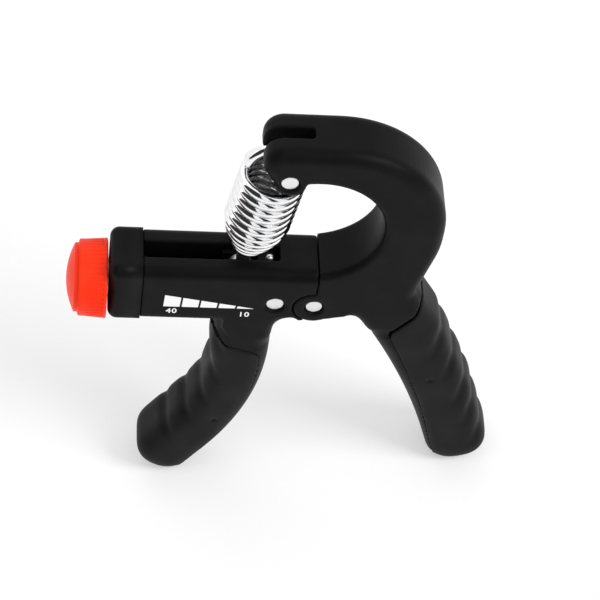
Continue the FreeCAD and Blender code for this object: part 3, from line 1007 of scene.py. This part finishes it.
@dataclass
class GripPad(Part):
    """Soft moulded grip with finger creases, a parting seam and a gate mark."""

    name: str
    body: Body
    node: str
    frame_node: str
    creases: Sequence[Crease]
    gate: tuple[float, float]
    seam_foot: float
    voxel: float = 0.45
    edge_passes: int = 3
    crease_width: float = 1.9
    crease_lead: float = 6.0
    seam_reach: float = 1.2
    seam_depth: float = 0.85
    seam_hold: float = 0.3
    strip_rise: float = 0.16
    strip_run: float = 2.5
    gate_radius: float = 0.9
    gate_depth: float = 0.55
    round_passes: int = 36

    def relief(self, x: np.ndarray, z: np.ndarray) -> np.ndarray:
        """Depth of the creases at places on the pad.

        Args:
            x: places along the barrel, in millimetres.
            z: heights, in millimetres.

        Returns:
            How far the surface sinks there, in millimetres.
        """
        sink = np.zeros_like(x)
        for crease in self.creases:
            length = math.hypot(*crease.run)
            ux, uz = crease.run[0] / length, crease.run[1] / length
            dx, dz = x - crease.notch[0], z - crease.notch[1]
            along = dx * ux + dz * uz
            across = dx * uz - dz * ux
            fade = ease(np.clip(1 - along / length, 0, 1))
            near = np.clip(1 + along / self.crease_lead, 0, 1)
            valley = np.exp(-((across / self.crease_width) ** 2))
            sink = np.maximum(sink, crease.depth * fade * near * valley)
        return sink

    def frame_gaps(self, places: np.ndarray) -> np.ndarray:
        """Distance from each vertex to the moulded frame that holds the pad.

        Args:
            places: the vertices' places, in metres.

        Returns:
            The distances, in millimetres.
        """
        other = bmesh.new()
        other.from_mesh(frame["nodes"][self.frame_node].data)
        tree = BVHTree.FromBMesh(other)
        other.free()
        return np.array([tree.find_nearest(place)[3] for place in map(Vector, places)]) / MM

    def build(self) -> bpy.types.Object:
        """Make the pad.

        Returns:
            The piece.
        """
        mesh = moulded_blank(self.node, self.voxel, self.edge_passes)
        places = vertex_values(mesh, "co")
        gaps = self.frame_gaps(places)
        free = np.clip(gaps / self.seam_reach - self.seam_hold, 0, 1)
        relax(mesh, places, free, self.round_passes)
        set_places(mesh, places)
        normals = vertex_values(mesh, "normal")
        x, y, z = self.axes.spread(places)
        sink = self.relief(x, z)
        ring = np.hypot(x - self.gate[0], z - self.gate[1]) / self.gate_radius
        sink += self.gate_depth * np.exp(-(ring ** 2)) * (y < 0)
        upper = np.clip((z - self.seam_foot) / self.strip_run, 0, 1)
        depth = self.seam_depth * upper - self.strip_rise * (1 - upper)
        sink += depth * np.clip(1 - gaps / self.seam_reach, 0, 1) ** 2
        places -= normals * sink[:, None] * MM
        # the seam's strip stands proud, but nothing may hang below the object's box
        places[:, 2] = np.maximum(places[:, 2], CAD_BOX[0][2])
        set_places(mesh, places)
        return self.dressed(self.name, mesh, self.body, self.node, Slot.GRIP)


# ---------- end cap
@dataclass
class EndCap(Part):
    """Cap at the knob's end of the barrel, slightly proud of it, with a softened seam."""

    seam: float = -56.2
    half_depth: float = 9.8
    bottom: float = -9.2
    top: float = 16.1
    proud: float = 0.5
    crease_angle: float = 35.0

    def build(self) -> bpy.types.Object:
        """Make the cap from its solid, spread outside the seam.

        Returns:
            The piece.
        """
        whole = merged_solid("barrel_end_cap")
        middle = (self.top + self.bottom) / 2
        half_height = (self.top - self.bottom) / 2
        for vert in whole.verts:
            x, y, z = self.axes.local(vert.co)
            if x <= self.seam + PLANE_SLACK:
                y *= 1 + self.proud / self.half_depth
                z = (z - middle) * (1 + self.proud / half_height) + middle
                vert.co = self.axes.point(x, y, z)
        mesh = closed_mesh("end_cap", whole)
        shade(mesh, self.crease_angle)
        return self.dressed("end_cap", mesh, Body.HOUSING, "barrel_end_cap", Slot.BLACK)


# ---------- knob
@dataclass
class Knob(Part):
    """Turned knob: a ribbed grip ring with a rolled rim, and a shallow cover set into it."""

    height: float = 0.3
    left: float = -76.4
    right: float = -67.2
    radius: float = 13.08
    taper: float = 0.6
    rim: float = 1.1
    bore: float = 2.6
    hub: float = 5.4
    wall: float = 1.6
    cover_radius: float = 11.3
    cover_skirt: float = 1.5
    cover_rise: float = 3.9
    cover_edge: float = 0.55
    nut_recess: float = 4.7
    nut_depth: float = 2.2
    plain_band: float = 2.2
    ribs: int = 48
    rib_depth: float = 0.34
    steps_per_rib: int = 8
    flank: tuple[float, float] = (0.3, 1.0)
    rib_rows: int = 8
    run_in_rows: int = 5
    dome_rows: int = 16
    merge_gap: float = 0.01
    crease_angle: float = 50.0

    def lathe(self, name: str, profile: Sequence[tuple[float, float, float]]) -> bpy.types.Mesh:
        """Turn a closed profile about the knob's axis.

        Args:
            name: the piece's name.
            profile: each point's place along the axis and radius, in millimetres, and the
                share of the groove's depth that is cut there.

        Returns:
            The mesh, in place.
        """
        steps = self.ribs * self.steps_per_rib
        shape = bmesh.new()
        groove = shape.verts.layers.float.new("groove")
        rings = []
        for i in range(steps):
            angle = 2 * math.pi * i / steps
            spoke = []
            for x, radius, sink in profile:
                place = Vector((x, radius * math.sin(angle), radius * math.cos(angle))) * MM
                spoke.append(shape.verts.new(place))
                spoke[-1][groove] = sink
            rings.append(spoke)
        for i, spoke in enumerate(rings):
            after = rings[(i + 1) % steps]
            for j in range(len(profile)):
                k = (j + 1) % len(profile)
                shape.faces.new((spoke[j], spoke[k], after[k], after[j]))
        bmesh.ops.remove_doubles(shape, verts=shape.verts, dist=self.merge_gap * MM)
        bmesh.ops.recalc_face_normals(shape, faces=shape.faces)
        mesh = self.cut_grooves(name, closed_mesh(name, shape))
        mesh.transform(self.axes.aligned(Vector((1, 0, 0)), 0, self.height))
        shade(mesh, self.crease_angle)
        return mesh

    def cut_grooves(self, name: str, mesh: bpy.types.Mesh) -> bpy.types.Mesh:
        """Sink the grooves between the ribs.

        Args:
            name: the piece's name.
            mesh: the turned mesh about the x axis, with each point's share of the groove.

        Returns:
            The grooved mesh.
        """
        sizes = {"Ribs": self.ribs, "Rib depth": self.rib_depth * MM, "Radius": self.radius * MM}
        tree = PartTree(name, sizes)
        at = tree.position()
        read = tree.node("GeometryNodeInputNamedAttribute", {"data_type": "FLOAT"}, {"Name": "groove"})
        phase = at["Y"].angle_to(at["Z"]) * tree.size("Ribs") / (2 * math.pi)
        sink = phase.wave().smooth(*self.flank) * read["Attribute"] * tree.size("Rib depth")
        keep = 1.0 - sink / tree.size("Radius")
        shaped = tree.moved(tree.size("Geometry"), at["X"], at["Y"] * keep, at["Z"] * keep)
        tree.close(shaped, self.finishes.by_slot[Slot.RED])
        return tree.run(mesh)

    def build_grip(self) -> bpy.types.Mesh:
        """Make the ribbed grip ring.

        Returns:
            Its mesh.
        """
        front, back = self.radius - self.taper, self.radius - 0.15
        profile = [
            (self.left, front - 0.5, 0.0), (self.left + 0.15, front - 0.18, 0.0),
            (self.left + 0.5, front, 0.0), (self.left + 1.3, front + 0.05, 0.0),
        ]
        ribbed = self.right - self.rim - self.left - self.plain_band
        for i in range(self.rib_rows + 1):
            x = self.left + self.plain_band + ribbed * i / self.rib_rows
            radius = front + (back - front) * (i + 1) / (self.rib_rows + 1)
            profile.append((x, radius, min(1.0, (i + 1) / self.run_in_rows)))
        inner, floor = self.radius - 2 * self.wall, self.left + self.wall
        profile += [
            (self.right - 0.95 * self.rim, back, 0.0), (self.right - 0.75 * self.rim, self.radius, 0.0),
            (self.right - 0.25 * self.rim, self.radius, 0.0), (self.right, self.radius - 0.3, 0.0),
            (self.right, inner, 0.0), (floor, inner, 0.0), (floor, self.hub, 0.0),
            (self.right, self.hub, 0.0), (self.right, self.bore, 0.0), (self.left, self.bore, 0.0),
        ]
        return self.lathe("knob_grip", profile)

    def build_cover(self) -> bpy.types.Mesh:
        """Make the shallow domed cover.

        Returns:
            Its mesh.
        """
        edge, floor = self.left - self.cover_skirt, self.left - self.nut_depth
        rise = self.cover_rise - self.cover_skirt
        rim = self.cover_radius - self.cover_edge
        ball = (rim * rim + rise * rise) / (2 * rise)
        slope = math.asin(rim / ball)
        profile = [
            (self.left, self.nut_recess, 0.0), (self.left, self.cover_radius, 0.0),
            (edge + 0.35, self.cover_radius - 0.08, 0.0), (edge + 0.1, self.cover_radius - 0.25, 0.0),
        ]
        for i in range(self.dome_rows + 1):
            angle = slope * (1 - i / self.dome_rows)
            profile.append((edge - rise + ball * (1 - math.cos(angle)), ball * math.sin(angle), 0.0))
        profile += [(floor, 0.0, 0.0), (floor, self.nut_recess, 0.0)]
        return self.lathe("knob_cover", profile)

    def build(self) -> list[bpy.types.Object]:
        """Make the knob's two pieces."""
        return [
            self.dressed("knob_grip", self.build_grip(), Body.ADJUSTER, "knob_collar", Slot.RED),
            self.dressed("knob_cover", self.build_cover(), Body.ADJUSTER, "knob_cap", Slot.RED),
        ]


# ---------- rivets
@dataclass
class SunkRivet(Part):
    """Rivet whose flat heads sit in deep recesses of the body's faces."""

    name: str
    body: Body
    node: str
    centre: tuple[float, float]
    head_scale: float
    sink: float = 0.45
    head_length: float = 1.1
    crease_angle: float = 35.0

    def build(self) -> bpy.types.Object:
        """Make the rivet from its solid, with narrower heads that sit deeper.

        Returns:
            The piece.
        """
        whole = merged_solid(self.node)
        tip = max(abs(vert.co.y - self.axes.origin.y) for vert in whole.verts) / MM
        for vert in whole.verts:
            x, y, z = self.axes.local(vert.co)
            x, z = x - self.centre[0], z - self.centre[1]
            depth = abs(y)
            if depth > tip - self.head_length - PLANE_SLACK:
                x, z = x * self.head_scale, z * self.head_scale
            if depth > tip - self.head_length / 2:
                depth -= self.sink
            vert.co = self.axes.point(x + self.centre[0], math.copysign(depth, y), z + self.centre[1])
        mesh = closed_mesh(self.name, whole)
        shade(mesh, self.crease_angle)
        return self.dressed(self.name, mesh, self.body, self.node, Slot.STEEL)


# ---------- printed scale
@dataclass
class ForceScale(Part):
    """Printed wedge of bars and two plain numbers on the front of the barrel."""

    face: float = -9.8
    proud: float = 0.03
    left: float = -48.6
    bars: int = 5
    bar_pitch: float = 5.95
    bar_gap: float = 0.68
    foot: float = -1.1
    rise: float = 4.55
    low_end: float = 0.1
    slant: float = 0.28
    digit_height: float = 2.3
    digit_share: float = 0.7
    digit_weight: float = 0.06
    digit_spacing: float = 1.15

    def top_at(self, x: float) -> float:
        """Height of the wedge's upper edge.

        Args:
            x: place along the barrel, in millimetres.

        Returns:
            The height, in millimetres.
        """
        run = self.bars * self.bar_pitch - self.bar_gap
        share = (x - self.left) / run
        return self.foot + self.low_end + (self.rise - self.foot) * (1 - share)

    def build_bars(self) -> bpy.types.Object:
        """Make the five bars as thin plates of ink.

        Returns:
            The piece.
        """
        points, faces = [], []
        for i in range(self.bars):
            x0 = self.left + i * self.bar_pitch
            x1 = x0 + self.bar_pitch - self.bar_gap
            corners = [
                (x0 - self.slant, self.foot), (x1 - self.slant, self.foot),
                (x1, self.top_at(x1)), (x0, self.top_at(x0)),
            ]
            base = len(points)
            for y in (self.face - self.proud, self.face + self.proud):
                points += [self.axes.point(x, y, z) for x, z in corners]
            faces += [tuple(base + k for k in ring) for ring in PLATE_FACES]
        mesh = bpy.data.meshes.new("bars")
        mesh.from_pydata([tuple(point) for point in points], [], faces)
        mesh.materials.append(self.finishes.ink)
        return add_piece("scale_bars", mesh)

    def build_number(self, name: str, words: str, left: float, top: float) -> bpy.types.Object:
        """Make one printed number.

        Args:
            name: the piece's name.
            words: the digits.
            left: left edge of the digits, in millimetres.
            top: top edge of the digits, in millimetres.

        Returns:
            The piece.
        """
        curve = bpy.data.curves.new(name, "FONT")
        curve.body = words
        curve.size = self.digit_height * MM / self.digit_share
        curve.extrude = self.proud * MM
        curve.offset = self.digit_weight * MM
        curve.space_character = self.digit_spacing
        mesh = evaluated_mesh(link_object(name + "_words", curve))
        mesh.transform(self.axes.matrix(left, self.face, top - self.digit_height))
        mesh.materials.clear()
        mesh.materials.append(self.finishes.ink)
        return add_piece(name, mesh)

    def build(self) -> list[bpy.types.Object]:
        """Make the whole printed scale.

        Returns:
            Its pieces.
        """
        pieces = [
            self.build_bars(),
            self.build_number("scale_number_high", "40", -47.9, -2.1),
            self.build_number("scale_number_low", "10", -24.3, -2.9),
        ]
        for piece in pieces:
            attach(piece, Body.HOUSING.value)
        return pieces


# ---------- studio
@dataclass
class Studio:
    """Pale floor, white surround, soft lamps, dark boards and the camera."""

    target: Vector
    azimuth: float = 2.43
    elevation: float = 52.0
    aim_right: float = -4.12
    aim_up: float = -4.87
    distance: float = 810.1
    lens: float = 148.7
    floor_size: float = 6.0
    floor_grey: float = 0.97
    floor_white: float = 0.36
    world_light: float = 0.70
    flag_distance: float = 0.9
    flag_lean: float = 0.25
    sensor_width: float = 36.0

    def build_floor(self) -> None:
        """Lay the floor."""
        half = self.floor_size / 2
        mesh = bpy.data.meshes.new("floor")
        corners = [(-half, -half, 0), (half, -half, 0), (half, half, 0), (-half, half, 0)]
        mesh.from_pydata(corners, [], [(0, 1, 2, 3)])
        surface = StudioSurface("studio_floor", (self.floor_grey,) * 3, self.floor_white)
        mesh.materials.append(surface.build())
        add_piece("studio_floor", mesh)

    def build_world(self) -> None:
        """White surround that lights the object a little less than it shows."""
        world = bpy.data.worlds.new("studio")
        world.use_nodes = True
        bpy.context.scene.world = world
        graph = NodeGraph(world.node_tree)
        strength = self.world_light + (1.0 - self.world_light) * graph.seen()
        light = graph.node("ShaderNodeBackground", {}, {"Color": (1, 1, 1, 1), "Strength": strength})
        graph.node("ShaderNodeOutputWorld", {}, {"Surface": light["Background"]})

    def build_lamp(self, name: str, place: Vector, size: float, power: float) -> None:
        """Hang one soft lamp that faces the object.

        Args:
            name: the lamp's name.
            place: where it hangs, in metres.
            size: the side of its square, in metres.
            power: its power, in watts.
        """
        lamp = bpy.data.lights.new(name, "AREA")
        lamp.size = size
        lamp.energy = power
        holder = link_object(name, lamp)
        holder.location = place
        holder.rotation_euler = (self.target - place).to_track_quat("-Z", "Y").to_euler()

    def build_flag(
        self, name: str, cloth: bpy.types.Material, turn: float, width: float, low: float, high: float
    ) -> None:
        """Stand a dark board that leans towards the object and shows in reflections only.

        Args:
            name: the board's name.
            cloth: its material.
            turn: its direction from the object, in degrees to the right of the camera.
            width: its width as seen from the object, in degrees.
            low: height of its lower edge, in metres.
            high: height of its upper edge, in metres.
        """
        points = []
        for step in (-0.5, 0.5):
            angle = math.radians(self.azimuth - turn + 180 - step * width)
            foot = Vector((math.sin(angle), math.cos(angle), 0)) * self.flag_distance
            points += [foot + Vector((0, 0, low)), self.flag_lean * foot + Vector((0, 0, high))]
        mesh = bpy.data.meshes.new(name)
        mesh.from_pydata([tuple(point) for point in points], [], [(0, 1, 3, 2)])
        mesh.materials.append(cloth)
        board = add_piece(name, mesh)
        for ray in ("camera", "diffuse", "shadow", "transmission"):
            setattr(board, "visible_" + ray, False)

    def build_camera(self) -> None:
        """Set the camera."""
        turn, lift = math.radians(self.azimuth), math.radians(self.elevation)
        level = math.cos(lift)
        forward = Vector((math.sin(turn) * level, math.cos(turn) * level, -math.sin(lift)))
        right = Vector((math.cos(turn), -math.sin(turn), 0))
        up = right.cross(forward)
        camera = bpy.data.cameras.new("camera")
        camera.lens = self.lens
        camera.sensor_width = self.sensor_width
        holder = link_object("camera", camera)
        place = self.target + MM * (self.aim_right * right + self.aim_up * up - self.distance * forward)
        facing = Matrix((right, up, -forward)).transposed().to_4x4()
        holder.matrix_world = Matrix.Translation(place) @ facing
        bpy.context.scene.camera = holder

    def build(self) -> None:
        """Set up the whole studio."""
        self.build_floor()
        self.build_world()
        self.build_lamp("key_lamp", Vector((0.80, -0.35, 0.80)), 0.45, 7.4)
        self.build_lamp("back_lamp", Vector((-0.25, 0.75, 0.95)), 0.9, 1.4)
        self.build_lamp("left_lamp", Vector((-0.95, -0.15, 0.45)), 0.6, 1.3)
        cloth = FlagCloth("flag_cloth").build()
        self.build_flag("flag_left", cloth, -56.0, 66.0, 0.05, 1.6)
        self.build_flag("flag_camera", cloth, 12.0, 20.0, 0.05, 1.6)
        self.build_flag("flag_right", cloth, 74.0, 44.0, 0.05, 1.4)
        self.build_flag("flag_low", cloth, 0.0, 120.0, 0.005, 0.12)
        self.build_camera()
        bpy.context.scene.view_settings.view_transform = "Standard"


# ---------- the whole object
@dataclass
class Gripper(Part):
    """The whole hand gripper, made piece by piece."""

    def grip_pads(self) -> list[GripPad]:
        """The left and the right grip with their creases.

        Returns:
            The grips.
        """
        left = [
            Crease((-31.6, -18.0), (5.0, -12.0), 1.0),
            Crease((-33.8, -31.0), (6.5, -13.0), 1.3),
            Crease((-37.2, -43.5), (7.0, -13.0), 1.4),
            Crease((-41.5, -54.5), (7.0, -13.0), 1.4),
            Crease((-47.2, -64.5), (6.5, -13.0), 1.4),
        ]
        right = [
            Crease((44.2, -14.9)), Crease((50.2, -27.3)), Crease((56.1, -40.5)),
            Crease((60.8, -52.5)), Crease((65.4, -65.3), depth=0.6),
        ]
        return [
            GripPad(
                self.axes, self.finishes, "left_grip", Body.HOUSING, "left_grip_pad", "main_housing",
                left, gate=(-27.6, -63.0), seam_foot=-23.0,
            ),
            GripPad(
                self.axes, self.finishes, "right_grip", Body.ARM, "right_grip_pad", "grip_arm",
                right, gate=(43.5, -37.0), seam_foot=-15.0,
            ),
        ]

    def moulded_shells(self) -> list[MouldedShell]:
        """The housing and the arm with their soft edges.

        Returns:
            The two shells.
        """
        left = [
            Blend((-10.5, -8.5), (-12.0, -19.0)), Blend((-12.0, -19.0), (-15.5, -20.5)),
            Blend((-7.0, -6.8), (-11.0, -8.5), 2.5),
        ]
        right = [Blend((14.5, -4.0), (19.0, -13.0)), Blend((19.0, -13.0), (24.0, -12.5), 4.0)]
        rows = [
            ("barrel_and_left_frame", Body.HOUSING, "main_housing", left),
            ("ring_and_right_frame", Body.ARM, "grip_arm", right),
        ]
        return [MouldedShell(self.axes, self.finishes, *row) for row in rows]

    def rivets(self) -> list[SunkRivet]:
        """The three rivets whose heads show.

        Returns:
            The rivets.
        """
        rows = [
            ("pivot_rivet", Body.HOUSING, "pivot_pin", (0.0, 0.0), 0.92),
            ("stop_rivet", Body.HOUSING, "stop_pin", (-12.8, 0.8), 0.97),
            ("spring_rivet", Body.ARM, "spring_pin", (-13.94, 60.5), 0.92),
        ]
        return [SunkRivet(self.axes, self.finishes, *row) for row in rows]

    def build(self) -> list[bpy.types.Object]:
        """Make every piece of the object.

        Returns:
            The pieces, in the order in which they were made.
        """
        given = (self.axes, self.finishes)
        made = ExtensionSpring(*given).build()
        made.append(ForceScrew(*given).build())
        made += ForceScale(*given).build()
        made.append(EndCap(*given).build())
        made += Knob(*given).build()
        made += [part.build() for part in (*self.rivets(), *self.moulded_shells(), *self.grip_pads())]
        return made


def main() -> None:
    """Build the studio and the object, and report its pieces."""
    logging.basicConfig(level=logging.INFO, format="%(name)s: %(message)s")
    axes = BarrelAxes.from_joints(frame["joints"])
    finishes = Finishes()
    Studio(axes.origin).build()
    finishes.dress_frame(frame["record"])
    for piece in Gripper(axes, finishes).build():
        LOG.info("%s: %d faces", piece.name, len(piece.data.polygons))


if __name__ == "__main__":
    main()
